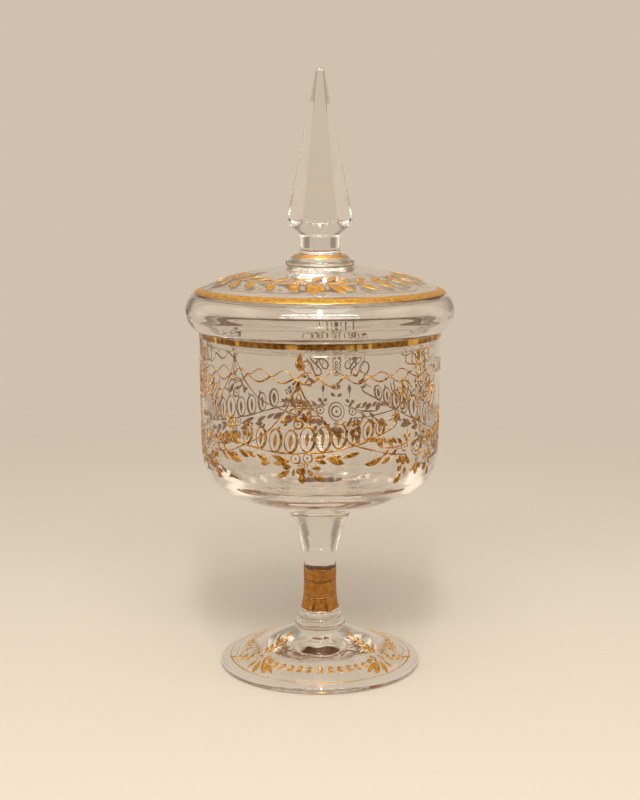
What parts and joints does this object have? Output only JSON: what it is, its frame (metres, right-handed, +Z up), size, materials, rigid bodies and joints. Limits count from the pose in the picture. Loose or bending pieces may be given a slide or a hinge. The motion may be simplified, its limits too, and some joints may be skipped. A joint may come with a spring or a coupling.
{
  "type": "covered footed bonbon jar",
  "caption": "Clear glass footed bonbon jar with a straight-sided bowl, six-sided cut stem, rolled-edge domed lid, tall faceted spire and fired gold bands.",
  "frame": {"origin": "centre of the ground ring under the foot, on the surface the jar stands on", "axes": "+Z up along the jar's turning axis towards the spire's tip; -Y is the front that faces the picture"},
  "size_m": [0.1468, 0.1468, 0.33],
  "materials": {
    "clear_glass": "fire-polished clear soda glass, faintly warm",
    "gilding": "fired liquid gold, burnished, lightly worn"
  },
  "bodies": {
    "jar": {"foot": "clear_glass", "foot_collar": "clear_glass", "stem_ring": "clear_glass", "stem": "clear_glass", "stem_gilding": "gilding", "bowl": "clear_glass", "rim_gilding": "gilding"},
    "lid": {"lid": "clear_glass", "lid_edge_gilding": "gilding", "knop": "clear_glass", "knop_gilding": "gilding", "spire": "clear_glass"}
  },
  "joints": [
    {"name": "lid_lift", "type": "slide", "parent": "jar", "child": "lid", "axis": [0, 0, 1], "range_m": [0, 0.12]}
  ]
}
